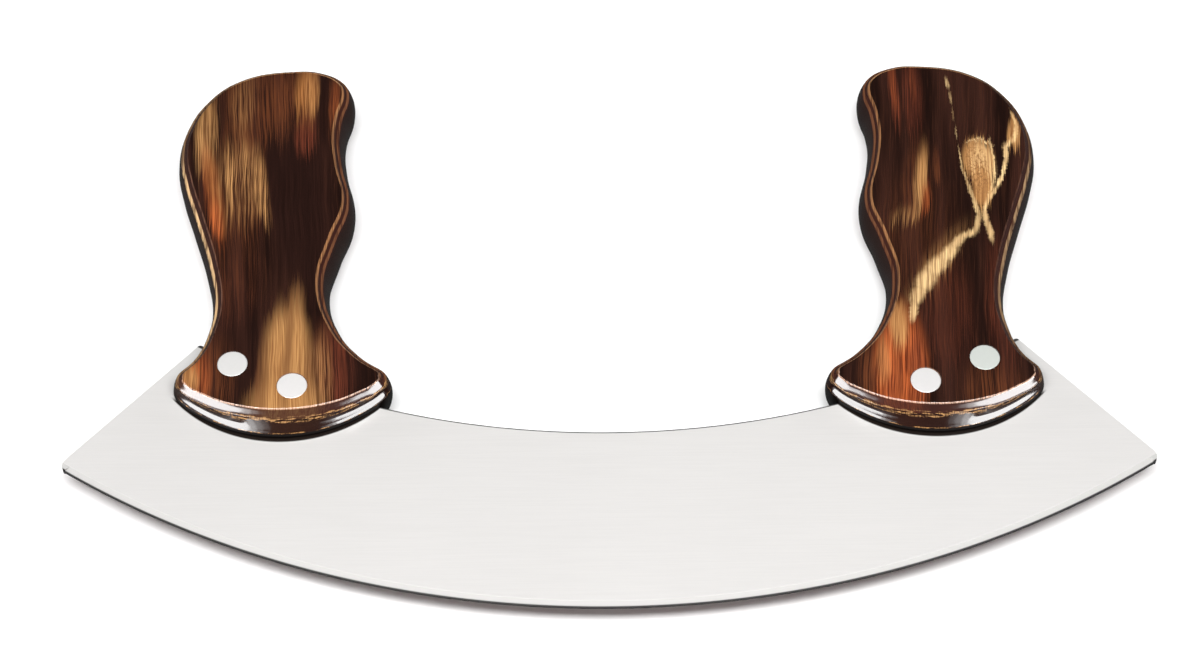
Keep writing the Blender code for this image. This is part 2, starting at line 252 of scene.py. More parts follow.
def slot_mesh(side, blade_low):
    """Plate that clears the blade's back in one handle."""
    centre_y = blade_low.y + BLADE_DEPTH + BACK_RADIUS
    inner = BACK_RADIUS - SEAT_GAP
    outer = BACK_RADIUS + SOCKET_DEPTH + CUT_OVERRUN
    half = (asin((FOOT_MIDDLE + SLOT_REACH) / inner)
            - asin((FOOT_MIDDLE - SLOT_REACH) / inner)) / 2
    middle = side * asin(FOOT_MIDDLE / inner) - pi / 2
    angles = [middle + half * (2 * i / SLOT_STEPS - 1) for i in range(SLOT_STEPS + 1)]
    flat = [(inner * cos(a), centre_y + inner * sin(a)) for a in angles]
    flat += [(outer * cos(a), centre_y + outer * sin(a)) for a in reversed(angles)]
    low = blade_low.z - SEAT_GAP
    high = blade_low.z + BLADE_THICKNESS + SEAT_GAP
    return lofted_mesh("slot", [[(x, y, low) for x, y in flat], [(x, y, high) for x, y in flat]])


def hole_mesh():
    head = HEAD_RADIUS + HEAD_GAP
    shank = SHANK_RADIUS + HEAD_GAP
    floor = HEAD_HEIGHT + HEAD_GAP
    top = HANDLE_THICKNESS
    profile = ((0, top + CUT_OVERRUN), (head, top + CUT_OVERRUN), (head, top - floor),
               (shank, top - floor), (shank, floor), (head, floor),
               (head, -CUT_OVERRUN), (0, -CUT_OVERRUN))
    return turned_mesh("rivet_hole", profile)


def cut(target, mesh, place=(0, 0, 0)):
    """Take a mesh out of an object and keep the result as its mesh."""
    cutter = new_object("cutter", mesh)
    cutter.location = place
    modifier = target.modifiers.new("cut", "BOOLEAN")
    modifier.operation = "DIFFERENCE"
    modifier.solver = "EXACT"
    modifier.object = cutter
    bpy.context.view_layer.update()
    evaluated = target.evaluated_get(bpy.context.evaluated_depsgraph_get())
    result = bpy.data.meshes.new_from_object(evaluated)
    target.modifiers.clear()
    target.data = result
    bpy.data.objects.remove(cutter, do_unlink=True)


def smooth(mesh):
    mesh.shade_smooth()
    mesh.set_sharp_from_angle(angle=SMOOTH_ANGLE)


def rivet_middle(node_name):
    low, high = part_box(node_name)
    return Vector(((low.x + high.x) / 2, (low.y + high.y) / 2, 0))


def head_points(level, direction):
    """Outer part of a head's profile, from its crown to its rim."""
    face = level - direction * HEAD_SINK
    points = [(HEAD_RADIUS * share, face - direction * HEAD_CROWN * share ** 2)
              for share in HEAD_CROWN_SHARES]
    rim = face - direction * HEAD_CROWN
    for turn in HEAD_EASE_TURNS:
        angle = radians(turn)
        points.append((HEAD_RADIUS - HEAD_EASE * (1 - sin(angle)),
                       rim - direction * HEAD_EASE * (1 - cos(angle))))
    return points


def female_mesh():
    neck = HANDLE_THICKNESS - HEAD_HEIGHT
    bore = POST_RADIUS + HEAD_GAP
    mouth = HEAD_HEIGHT + HEAD_GAP
    shank = SHANK_RADIUS - HEAD_GAP
    profile = [(0, HANDLE_THICKNESS)] + head_points(HANDLE_THICKNESS, 1)
    profile += [(HEAD_RADIUS, neck), (shank, neck), (shank, mouth), (bore, mouth),
                (bore, neck), (0, neck)]
    return turned_mesh("rivet_female", profile)


def male_mesh():
    top = HANDLE_THICKNESS - POST_DEPTH
    post = POST_RADIUS - HEAD_GAP
    profile = [(0, 0)] + head_points(0, -1)
    profile += [(HEAD_RADIUS, HEAD_HEIGHT), (post, HEAD_HEIGHT), (post, top), (0, top)]
    return turned_mesh("rivet_male", profile)


def place_camera():
    data = bpy.data.cameras.new("camera")
    data.lens = CAMERA_LENS_MM
    data.sensor_width = SENSOR_MM
    data.sensor_fit = "HORIZONTAL"
    data.clip_start = CAMERA_CLIP
    camera = new_object("camera", data)
    turn = Matrix.Rotation(CAMERA_PITCH, 4, "X") @ Matrix.Rotation(CAMERA_ROLL, 4, "Z")
    camera.matrix_world = Matrix.Translation(CAMERA_PLACE) @ turn
    bpy.context.scene.camera = camera


# Lights: place, length and height, where each points, power in watts, what it
# is for (gloss only, fill only, or all) and its colour. The fades soften the
# inner end of each front strip where it shows in the varnish.
WHITE = (1.0, 1.0, 1.0)
WARM_WHITE = (1.0, 0.84, 0.82)
MIDDLE = (0, 0, 0.01)       # of the tool, where most panels point
LIGHTS = (
    ("top_panel", (0, -0.34, 1.08), (1.3, 0.34), (0, -0.05, 0), 22.5, "all", WHITE),
    ("front_fill", (0, -1.00, 0.45), (1.2, 0.50), (0, 0, 0), 5.2, "fill", WARM_WHITE),
    ("front_left_strip", (-0.768, -0.548, 0.19), (0.92, 0.22), MIDDLE, 9.4, "gloss", WHITE),
    ("front_right_strip", (0.768, -0.548, 0.19), (0.92, 0.22), MIDDLE, 9.4, "gloss", WHITE),
    ("front_left_fade_1", (-0.420, -0.842, 0.19), (0.066, 0.20), MIDDLE, 0.250, "gloss", WHITE),
    ("front_left_fade_2", (-0.360, -0.869, 0.19), (0.066, 0.18), MIDDLE, 0.105, "gloss", WHITE),
    ("front_left_fade_3", (-0.299, -0.892, 0.19), (0.066, 0.16), MIDDLE, 0.036, "gloss", WHITE),
    ("front_right_fade_1", (0.420, -0.842, 0.19), (0.066, 0.20), MIDDLE, 0.250, "gloss", WHITE),
    ("front_right_fade_2", (0.360, -0.869, 0.19), (0.066, 0.18), MIDDLE, 0.105, "gloss", WHITE),
    ("front_right_fade_3", (0.299, -0.892, 0.19), (0.066, 0.16), MIDDLE, 0.036, "gloss", WHITE),
    ("back_left_strip", (-0.80, 0.60, 0.45), (0.60, 0.50), MIDDLE, 2.0, "fill", WHITE),
    ("back_right_strip", (0.80, 0.60, 0.45), (0.60, 0.50), MIDDLE, 2.0, "fill", WHITE),
)
STEEP_AIM = 0.9             # a panel aimed more steeply has its long side along X
WORLD_GLOW = 0.03
TABLE_SIZE = 1.4
TABLE_DROP = 0.0001
TABLE_CELLS = 8
TABLE_COLOUR = (0.94, 0.94, 0.94)
TABLE_SHADE = 0.985         # darkest part of its faint clouds
TABLE_CLOUD = 6.0
TABLE_ROUGHNESS = 0.6
TABLE_SPECULAR = 0.1
# How much of the table and of the steel shows in the varnish, and how much of
# their light reaches the surfaces round them
TABLE_BOUNCE = (0.05, 0.40)
STEEL_BOUNCE = (0.14, 0.12)

# Wood colours, linear: the ground's three, then each tone's light and deep
# colour, and how much of it the grain breaks up
NEAR_BLACK = (0.0080, 0.0024, 0.0014)
DARK_BROWN = (0.0300, 0.0102, 0.0064)
WARM_BROWN = (0.1000, 0.0330, 0.0155)
WOOD_TONES = {
    "dark": ((0.0170, 0.0056, 0.0038), (0.0100, 0.0032, 0.0020), 0.0),
    "brown": ((0.1280, 0.0385, 0.0138), (0.0350, 0.0110, 0.0062), 0.5),
    "red": ((0.1500, 0.0350, 0.0165), (0.0450, 0.0122, 0.0074), 0.4),
    "orange": ((0.5300, 0.1250, 0.0330), (0.1900, 0.0360, 0.0120), 0.5),
    "amber": ((0.4600, 0.1900, 0.0560), (0.1900, 0.0650, 0.0200), 0.4),
    "golden": ((0.5200, 0.2750, 0.0980), (0.2600, 0.1120, 0.0380), 0.15),
    "tan": ((0.5000, 0.2600, 0.0950), (0.1100, 0.0400, 0.0150), 1.0),
    "cream": ((0.9600, 0.6900, 0.3400), (0.4800, 0.2700, 0.1100), 0.45),
    "mottle": ((0.2800, 0.1400, 0.0520), (0.1500, 0.0580, 0.0220), 0.0),
}

# Rivet heads: each one's tone, one metal painted lighter, darker or greener as each
# head catches the light; its specks and turned rings, and its finish
RIVET_LIT_TONES = {
    ("left", "outer"): (0.715, 0.715, 0.702),
    ("left", "inner"): (0.775, 0.766, 0.757),
    ("right", "inner"): (0.757, 0.750, 0.742),
    ("right", "outer"): (0.622, 0.660, 0.622),
}
RIVET_SHADE = 0.95          # darkest speck, as a share of the tone
RIVET_SPECK = 900.0
RIVET_RINGS = 5200.0
RIVET_ROUGHNESS = (0.10, 0.32)      # what the rings add, and the least
RIVET_BUMP = (0.15, 0.00001)        # strength and distance, as in each bump here
RIVET_METALLIC = 0.35

# Figure of the wood, in millimetres from the foot: x outward from its middle,
# y up the handle. Each streak, painted in turn: tone, x, y, half width, half
# height, tilt in degrees, softness, strength.
LEFT_FIGURE = (
    ("brown", 11.0, 93.0, 8.5, 14.0, 0, 0.5, 0.70),
    ("tan", 12.8, 95.0, 2.6, 9.0, 0, 0.7, 0.26),
    ("dark", 17.7, 91.0, 1.2, 9.0, 0, 0.6, 0.75),
    ("brown", 2.8, 95.0, 3.4, 12.0, 0, 0.6, 0.75),
    ("brown", 12.4, 48.0, 5.4, 14.0, -8, 0.5, 0.24),
    ("red", 12.0, 36.0, 5.0, 12.0, 0, 0.5, 0.08),
    ("dark", -2.6, 61.0, 7.0, 25.0, -5, 0.35, 0.9),
    ("dark", 9.7, 18.0, 3.8, 14.0, 0, 0.5, 0.55),
    ("brown", -9.4, 92.0, 2.6, 9.0, 0, 0.5, 0.9),
    ("orange", -9.4, 93.5, 1.1, 6.5, 0, 0.5, 0.22),
    ("amber", -2.6, 96.0, 2.6, 8.0, -2, 0.50, 0.85),
    ("tan", -3.6, 96.5, 1.7, 7.5, -2, 0.45, 0.45),
    ("dark", -7.0, 92.0, 1.2, 13.0, -4, 0.25, 0.9),
    ("red", -3.0, 84.0, 2.5, 6.0, 0, 0.50, 0.80),
    ("golden", 21.4, 84.5, 2.0, 10.5, 0, 0.50, 0.40),
    ("tan", 20.9, 84.0, 2.4, 12.0, 0, 0.45, 0.65),
    ("orange", 18.5, 66.0, 1.8, 13.0, -11, 0.50, 0.45),
    ("amber", 18.0, 66.5, 1.7, 11.0, -11, 0.50, 0.45),
    ("orange", 17.2, 58.5, 1.2, 5.5, -11, 0.50, 0.62),
    ("brown", 11.6, 69.0, 5.6, 14.0, -8, 0.50, 0.75),
    ("tan", 12.4, 70.0, 4.8, 10.5, -8, 0.60, 0.55),
    ("tan", 7.4, 69.0, 1.7, 10.5, -10, 0.45, 0.90),
    ("tan", 11.4, 74.0, 0.9, 8.0, -6, 0.50, 0.55),
    ("tan", 15.0, 72.5, 1.2, 9.0, -5, 0.45, 0.70),
    ("dark", 3.6, 69.0, 2.0, 14.0, -10, 0.22, 0.9),
    ("golden", -2.7, 29.0, 2.0, 8.0, 0, 0.55, 0.55),
    ("tan", 1.2, 22.0, 1.7, 12.0, 0, 0.45, 0.6),
    ("golden", -1.0, 21.0, 5.2, 10.0, 0, 0.38, 0.72),
    ("golden", -1.6, 9.5, 6.0, 16.0, 0, 0.34, 0.82),
    ("golden", -1.4, 4.0, 8.0, 7.0, 0, 0.40, 0.75),
    ("brown", -1.4, 18.0, 1.1, 15.0, 0, 0.60, 0.70),
    ("brown", 4.2, 10.0, 1.4, 12.0, 0, 0.60, 0.55),
    ("brown", -6.4, 14.0, 0.8, 9.0, 0, 0.60, 0.50),
    ("red", -12.0, 16.5, 4.6, 12.0, 0, 0.45, 0.75),
    ("tan", -9.2, 12.0, 2.4, 12.0, 0, 0.50, 0.45),
    ("dark", -16.6, 17.0, 2.2, 8.0, 0, 0.6, 0.65),
    ("brown", 18.0, 13.0, 6.4, 11.0, 0, 0.50, 0.85),
    ("orange", 19.6, 12.5, 3.2, 7.5, 0, 0.50, 0.5),
    ("golden", 20.8, 11.5, 2.1, 5.0, 0, 0.50, 0.75),
)
RIGHT_FIGURE = (
    ("brown", -2.0, 50.0, 9.0, 17.0, 0, 0.6, 0.30),
    ("red", 16.0, 30.0, 3.0, 20.0, 0, 0.5, 0.40),
    ("red", 3.5, 30.0, 6.0, 15.0, 0, 0.5, 0.28),
    ("brown", 12.0, 8.0, 6.0, 7.0, 0, 0.6, 0.72),
    ("red", -5.2, 94.5, 1.1, 9.5, 0, 0.50, 0.80),
    ("orange", -5.2, 97.0, 0.8, 8.5, 0, 0.45, 0.22),
    ("red", -0.8, 94.0, 2.2, 11.0, 0, 0.50, 0.62),
    ("orange", -0.6, 98.0, 0.7, 6.0, 0, 0.50, 0.10),
    ("brown", 3.8, 72.5, 0.8, 5.0, 0, 0.50, 0.8),
    ("brown", -1.4, 69.0, 3.0, 11.0, -8, 0.5, 0.6),
    ("tan", -0.3, 69.5, 1.5, 9.5, -8, 0.45, 0.85),
    ("golden", 0.0, 69.0, 0.9, 7.0, -8, 0.50, 0.65),
    ("orange", 0.4, 63.0, 1.0, 4.5, -8, 0.50, 0.45),
    ("tan", -4.8, 58.0, 3.2, 2.2, 30, 0.50, 0.52),
    ("orange", -8.4, 13.5, 5.8, 17.0, -3, 0.34, 0.90),
    ("golden", -8.2, 26.0, 2.0, 5.5, 0, 0.50, 0.92),
    ("golden", -12.0, 16.0, 1.5, 6.0, 0, 0.50, 0.38),
    ("brown", -8.8, 14.0, 0.8, 9.0, 0, 0.60, 0.5),
    ("red", -4.6, 14.0, 1.8, 9.0, 0, 0.5, 0.6),
    ("brown", -15.6, 12.0, 2.0, 8.0, 0, 0.50, 0.9),
    ("tan", 1.6, 43.5, 2.6, 12.0, -33, 0.60, 0.50),
    ("golden", 13.9, 73.5, 3.6, 6.8, 0, 0.20, 1.0),
    ("cream", 14.6, 72.0, 2.6, 6.4, 0, 0.50, 0.60),
    ("golden", 14.1, 65.5, 2.3, 6.4, 0, 0.15, 1.0),
    ("mottle", 13.2, 71.5, 2.7, 8.0, 0, 0.40, 0.85),
    ("golden", 22.7, 81.8, 1.5, 4.6, 0, 0.30, 0.95),
    ("mottle", 22.6, 81.4, 0.8, 3.4, 0, 0.40, 0.45),
)

# Painted shade over the rims and, darker, over the walls: the depths below either face
# where it starts and is full, strength and colour; and a painted black shade line along
# the foot of the wall, where it meets the blade
RIM_SHADE = ((0.10, 0.40), 0.85, (0.040, 0.0125, 0.0085))
WALL_SHADE = ((1.80, 2.40), 0.90, (0.0165, 0.0052, 0.0030))
FOOT_LINE_SHADE = ((5.06, 5.18), 0.97, (0.004, 0.0025, 0.0020))

# Painted shadow on the blade round each foot, a crescent between the foot's arc and
# a smaller one set lower: how much smaller and lower, and how softly it ends
FOOT_SHADOW_SMALLER = 0.0010
FOOT_SHADOW_LOWER = 0.0018
FOOT_SHADOW_EDGE = (-0.0001, 0.0003)
FOOT_SHADOW_START = 0.0016         # it is full this far below the foot's corners
FOOT_SHADOW_COLOUR = (0.012, 0.008, 0.006)

# Paler lines along the rim: partly lighter wood where sanding cut through the
# stain, with end grain showing as dashes, and partly painted highlights along the
# arrises of the foot, the top and the flanks. On which part of the rim each lies,
# the depths below either face over which it shows (from, full, to, gone),
# strength, colour
RIM_LINES_AND_HIGHLIGHTS = (
    ("foot", (0.00, 0.03, 0.20, 0.32), 0.90, (0.68, 0.43, 0.31)),
    ("dashes", (1.60, 1.74, 2.60, 3.10), 0.90, (0.56, 0.31, 0.12)),
    ("dashes", (4.76, 4.82, 4.96, 5.06), 0.90, (0.50, 0.27, 0.10)),
    ("inner", (0.02, 0.12, 0.50, 0.85), 0.85, (0.48, 0.225, 0.092)),
    ("inner", (1.44, 1.52, 1.70, 1.84), 0.38, (0.33, 0.14, 0.062)),
    ("top", (0.00, 0.02, 0.40, 0.90), 1.00, (0.62, 0.33, 0.150)),
    ("outer", (0.02, 0.08, 0.26, 0.50), 0.50, (0.31, 0.15, 0.095)),
    ("outer", (1.44, 1.52, 2.00, 2.35), 0.90, (0.78, 0.52, 0.270)),
)
OUTER_LINE = {-1: 1.0, 1: 0.4}      # the right handle's outer lines are fainter
# Where the parts of a rim begin or end, in millimetres from the foot; the last
# number of a fade is what remains of the outer lines there
FOOT_END = (11.0, 15.0)
TOP_START = (97.0, 100.5)
OUTER_START = (2.0, 7.0)
OUTER_LOW_FADE = (18.0, 34.0, 0.35)
OUTER_HIGH_FADE = (70.0, 80.0, 0.25)
LINE_FINE_SHARE = 0.6             # how much the finer fibres count in breaking up the lines
LINE_BREAKUP_LIMITS = (0.55, 0.95)

# Pale veins of the right handle: strength, and the points each one joins with
# its half width there
RIGHT_VEINS = (
    (0.42, ((7.7, 99.0, 0.42), (8.1, 96.6, 0.34))),
    (0.34, ((8.3, 94.6, 0.30), (8.5, 92.0, 0.24))),
    (0.26, ((8.7, 89.4, 0.20), (8.9, 86.6, 0.16))),
    (0.24, ((9.4, 84.0, 0.16), (9.6, 81.0, 0.14))),
    (0.65, ((9.7, 76.6, 0.16), (9.8, 71.1, 0.24), (10.7, 66.4, 0.34), (11.9, 61.7, 0.48))),
    (0.80, ((11.9, 61.7, 0.48), (12.7, 57.1, 0.62), (11.3, 52.6, 0.80), (8.4, 51.1, 0.90),
            (6.4, 48.1, 1.10), (3.7, 44.3, 1.70), (0.5, 40.6, 2.10), (-2.2, 36.2, 1.90),
            (-4.0, 32.5, 1.20), (-4.8, 27.7, 0.60))),
    (0.80, ((12.2, 79.6, 0.20), (14.8, 80.4, 0.22), (17.2, 78.8, 0.26), (17.5, 73.3, 0.24),
            (17.0, 67.9, 0.26), (15.3, 62.8, 0.35))),
    (0.90, ((22.7, 87.9, 0.25), (23.5, 84.3, 0.45), (22.9, 80.4, 0.60), (20.4, 78.0, 0.60),
            (20.4, 74.1, 0.50), (19.1, 69.4, 0.42), (17.4, 65.5, 0.46), (15.3, 61.7, 0.52),
            (13.9, 58.6, 0.58), (14.3, 55.6, 0.75), (15.1, 50.6, 0.60))),
)
FIGURES = {"left": (LEFT_FIGURE, ()), "right": (RIGHT_FIGURE, RIGHT_VEINS)}
VEIN_OVERLAP = 0.68         # half height of a piece of vein, by its length
VEIN_SOFTNESS = 0.50
FOOT_DASHES = ((0.36, 0.30, 3.0), (0.48, 0.56))     # noise stretch, and where a dash shows

# Grain: noises over the handle's millimetres. A stretch gives a noise's scale
# across, along and below; a pair of limits says where its values take effect.
GRAIN_LEAN = 0.055          # the grain leans outward up the handle
GRAIN_SEED = 37.0           # sets the two handles' grains apart
DEPTH_SHIFT = 0.3           # the figure moves outward with depth
WANDER_SCALE = 0.035
WANDER_MM = 3.0
FIBRE_STRETCH = (2.8, 0.040, 0.5)
FINE_STRETCH = (5.4, 0.080, 1.6)
BAND_STRETCH = (0.22, 0.014, 0.12)
FIBRE_SHARE = 0.55
FINE_SHARE = 0.45
BAND_LIMITS = (0.40, 0.68)
LIT_LIMITS = (0.38, 0.62)
WARM_LIMITS = (0.48, 0.70)
WARM_SHARE = 0.30
MOTTLE_STRETCH = (1.9, 1.1, 1.0)
MOTTLE_LIMITS = (0.46, 0.60)
MOST_NOISE = (0.3, 0.7)     # limits between which most of any noise lies
# How far the grain drags the edges of streaks and veins about, along and across
STREAK_DRAG_MM = (13.0, 14.0, 1.2)
VEIN_DRAG_MM = (4.5, 0.9)
VEIN_SPECK = 1.1

# Finish of the wood and of the varnish over it
WOOD_ROUGHNESS = (0.42, 0.52)
WOOD_BUMP_FINE = 0.5
WOOD_BUMP = (0.25, 0.00004)
WOOD_SPECULAR = 0.05
RIPPLE_SCALE = 0.35
RIPPLE_BUMP = (0.20, 0.00006)
VARNISH_ROUGHNESS = 0.09
VARNISH_IOR = 1.62

# Steel: its tones, and how far beyond an arc each zone begins and is full. The
# dark lines along the cutting edge and along the back are painted shade; the one
# along the back is wider at the blade's ends, outside the handles.
SATIN_TONES = ((0.712, 0.706, 0.692), (0.735, 0.728, 0.714))
GROUND_TONE = (0.43, 0.43, 0.42)
# Painted shade: the near-black line along the cutting edge, then the dark line along the back
KEEN_SHADE_TONE = (0.02, 0.02, 0.02)
BACK_SHADE_TONE = (0.06, 0.06, 0.06)
GROUND_EDGE = (-0.0001, 0.0001)
KEEN_EDGE = (-0.0006, -0.0003)
ARRIS_EDGE = (0.00015, 0.0004)
END_ARRIS_EDGE = (0.0006, 0.0009)
END_ARRIS_START = (0.088, 0.090)    # distance from the blade's middle
SATIN_STRETCH = (60.0, 2600.0, 400.0)
CLOUD_SCALE = 14.0
STEEL_ROUGHNESS = (0.33, 0.50)      # on the satin and in the ground zone
CLOUD_ROUGHNESS = 0.06
LINE_ROUGHNESS = 0.08
STEEL_METALLIC = (0.42, 0.05)
STEEL_SPECULAR = 0.15
STEEL_BUMP = (0.12, 0.00001)


def add(tree, kind, inputs=None, **settings):
    """Add a shader node; inputs gives values or other nodes' outputs by socket."""
    made = tree.nodes.new(kind)
    for name, value in settings.items():
        setattr(made, name, value)
    for name, value in (inputs or {}).items():
        if isinstance(value, bpy.types.NodeSocket):
            tree.links.new(value, made.inputs[name])
        else:
            made.inputs[name].default_value = value
    return made


def number(tree, operation, first, second, third=None):
    """Result of one sum or comparison of numbers."""
    inputs = {0: first, 1: second}
    if third is not None:
        inputs[2] = third
    return add(tree, "ShaderNodeMath", inputs, operation=operation).outputs[0]


def vector(tree, operation, first, *second):
    """Node for one step with vectors."""
    return add(tree, "ShaderNodeVectorMath", dict(enumerate((first, *second))),
               operation=operation)


def scaled(tree, place, factors):
    return vector(tree, "MULTIPLY", place, factors).outputs[0]


def reach_from(tree, place, middle):
    return vector(tree, "DISTANCE", place, middle).outputs["Value"]


def reach_of(tree, place):
    return vector(tree, "LENGTH", place).outputs["Value"]


def object_place(tree):
    return add(tree, "ShaderNodeTexCoord").outputs["Object"]


def separate(tree, place):
    return add(tree, "ShaderNodeSeparateXYZ", {0: place}).outputs


def joined(tree, x, y, z=0.0):
    return add(tree, "ShaderNodeCombineXYZ", {0: x, 1: y, 2: z}).outputs[0]


def bumped(tree, height, strength, distance):
    inputs = {"Height": height, "Strength": strength, "Distance": distance}
    return add(tree, "ShaderNodeBump", inputs).outputs[0]


def blended(tree, share, first, second):
    """Colour between two colours."""
    colours = [(*c, 1) if isinstance(c, tuple) else c for c in (first, second)]
    inputs = {"Factor": share, 6: colours[0], 7: colours[1]}
    return add(tree, "ShaderNodeMix", inputs, data_type="RGBA").outputs[2]


def eased(tree, value, low, high, to_low=0.0, to_high=1.0):
    """Smooth step of a value between two limits."""
    inputs = {"Value": value, "From Min": low, "From Max": high,
              "To Min": to_low, "To Max": to_high}
    return add(tree, "ShaderNodeMapRange", inputs,
               interpolation_type="SMOOTHSTEP").outputs[0]


def noise(tree, place, scale, detail, rough, stretch=None):
    """Noise value at a place, its features stretched along any axis."""
    if stretch:
        place = scaled(tree, place, stretch)
    inputs = {"Vector": place, "Scale": scale, "Detail": detail, "Roughness": rough}
    return add(tree, "ShaderNodeTexNoise", inputs).outputs[0]


def empty_material(name):
    material = bpy.data.materials.new(name)
    material.use_nodes = True
    tree = material.node_tree
    tree.nodes.clear()
    shader = add(tree, "ShaderNodeBsdfPrincipled")
    output = add(tree, "ShaderNodeOutputMaterial")
    tree.links.new(shader.outputs[0], output.inputs[0])
    return material, tree, shader


def link(tree, source, shader, name):
    tree.links.new(source, shader.inputs[name])


def wood_place(tree, side):
    """Handle's own millimetre coordinates: outward, up the handle, below the face."""
    inputs = {"Vector": object_place(tree),
              "Location": (-FOOT_MIDDLE / MM, -FOOT_LEVEL / MM, -HANDLE_THICKNESS / MM),
              "Scale": (side / MM, 1 / MM, 1 / MM)}
    return add(tree, "ShaderNodeMapping", inputs, vector_type="POINT").outputs[0]


def streak(tree, place, across, along, half_width, half_height, tilt, soft, strength):
    """Mask of one elliptical streak."""
    inputs = {"Vector": place, "Location": (across, along, 0),
              "Rotation": (0, 0, radians(tilt)), "Scale": (half_width, half_height, 1)}
    local = add(tree, "ShaderNodeMapping", inputs, vector_type="TEXTURE").outputs[0]
    return eased(tree, reach_of(tree, local), 1 - soft, 1 + soft, strength, 0.0)


def vein_mask(tree, place, veins):
    """Each vein is a chain of narrow streaks from point to point."""
    masks = []
    for strength, points in veins:
        for start, end in zip(points, points[1:]):
            step = Vector(end[:2]) - Vector(start[:2])
            middle = (Vector(end[:2]) + Vector(start[:2])) / 2
            tilt = -degrees(atan2(step.x, step.y))
            width = (start[2] + end[2]) / 2
            masks.append(streak(tree, place, middle.x, middle.y, width,
                                step.length * VEIN_OVERLAP, tilt, VEIN_SOFTNESS, strength))
    result = masks[0]
    for mask in masks[1:]:
        result = number(tree, "MAXIMUM", result, mask)
    return result


def painted(tree, colour, mask, tone, lit):
    """Lay one tone over the wood, broken up by the grain."""
    light, deep, broken = WOOD_TONES[tone]
    if broken:
        share = number(tree, "MULTIPLY_ADD", lit, broken, 1 - broken)
        mask = number(tree, "MULTIPLY", mask, share)
    return blended(tree, mask, colour, blended(tree, lit, deep, light))


def rim_depth(tree, parts):
    """Depth below the nearer flat face, in millimetres."""
    below = number(tree, "MULTIPLY", parts[2], -1.0)
    above = number(tree, "ADD", parts[2], HANDLE_THICKNESS / MM)
    return number(tree, "MINIMUM", below, above)


def rim_zones(tree, place, parts, side):
    """Shares of the foot, its dashes, the top and the two flanks of a handle."""
    foot = eased(tree, parts[1], *FOOT_END, 1.0, 0.0)
    flank = number(tree, "SUBTRACT", 1.0, foot)
    outer = eased(tree, parts[0], *OUTER_START)
    start, full, rest = OUTER_LOW_FADE
    low = eased(tree, parts[1], start, full, rest, 1.0)
    start, gone, rest = OUTER_HIGH_FADE
    high = eased(tree, parts[1], start, gone, 1.0, rest)
    outer_share = number(tree, "MULTIPLY", outer, number(tree, "MULTIPLY", low, high))
    outer_share = number(tree, "MULTIPLY", outer_share, OUTER_LINE[side])
    inner = number(tree, "SUBTRACT", 1.0, outer)
    stretch, limits = FOOT_DASHES
    dashes = eased(tree, noise(tree, place, 1.0, 2, 0.6, stretch), *limits)
    return {"foot": foot,
            "top": eased(tree, parts[1], *TOP_START),
            "dashes": number(tree, "MULTIPLY", foot, dashes),
            "outer": number(tree, "MULTIPLY", outer_share, flank),
            "inner": number(tree, "MULTIPLY", inner, flank)}


def shaded_from_depth(tree, colour, depth, painted_shade, zone=None):
    """Colour under painted shade that sets in below a depth."""
    limits, strength, tone = painted_shade
    share = eased(tree, depth, *limits, 0.0, strength)
    if zone is not None:
        share = number(tree, "MULTIPLY", share, zone)
    return blended(tree, share, colour, tone)


def rim_paint(tree, colour, place, parts, side, fibre, fine):
    """Rims and walls darkened by painted shade, paler lines along the edges (sanded wood and
    painted highlights) broken up by the grain, and a painted shade line at the foot.
    """
    depth = rim_depth(tree, parts)
    line_grain = number(tree, "ADD", fibre, number(tree, "MULTIPLY", fine, LINE_FINE_SHARE))
    line_breakup = eased(tree, line_grain, *LINE_BREAKUP_LIMITS)
    zones = rim_zones(tree, place, parts, side)
    # Painted shade over the rims and the walls
    for painted_shade in (RIM_SHADE, WALL_SHADE):
        colour = shaded_from_depth(tree, colour, depth, painted_shade)
    # Paler sanded wood and painted highlights along the rim's edges
    for zone, (start, full, leave, gone), strength, tone in RIM_LINES_AND_HIGHLIGHTS:
        line = number(tree, "MULTIPLY", eased(tree, depth, start, full),
                      eased(tree, depth, leave, gone, 1.0, 0.0))
        line = number(tree, "MULTIPLY", line, zones[zone])
        share = number(tree, "MULTIPLY", line, number(tree, "MULTIPLY", line_breakup, strength))
        colour = blended(tree, share, colour, tone)
    # Painted black shade line where the foot's wall meets the blade
    return shaded_from_depth(tree, colour, depth, FOOT_LINE_SHADE, zones["foot"])


def grain_across(tree, place, parts):
    """Distance across the grain, which wanders and moves with depth."""
    wave = noise(tree, place, WANDER_SCALE, 2, 0.5)
    across = number(tree, "MULTIPLY_ADD", parts[2], DEPTH_SHIFT, parts[0])
    across = number(tree, "MULTIPLY_ADD", wave, WANDER_MM, across)
    return number(tree, "SUBTRACT", across, WANDER_MM / 2)


def grain_noises(tree, parts, across, side):
    """Noises along the grain: its fibres, finer ones and broad bands."""
    upright = number(tree, "MULTIPLY_ADD", parts[1], -GRAIN_LEAN, across)
    upright = number(tree, "ADD", upright, GRAIN_SEED * side)
    place = joined(tree, upright, parts[1], parts[2])
    return (noise(tree, place, 1.0, 3, 0.6, FIBRE_STRETCH),
            noise(tree, place, 1.0, 2, 0.6, FINE_STRETCH),
            noise(tree, place, 1.0, 2, 0.5, BAND_STRETCH))


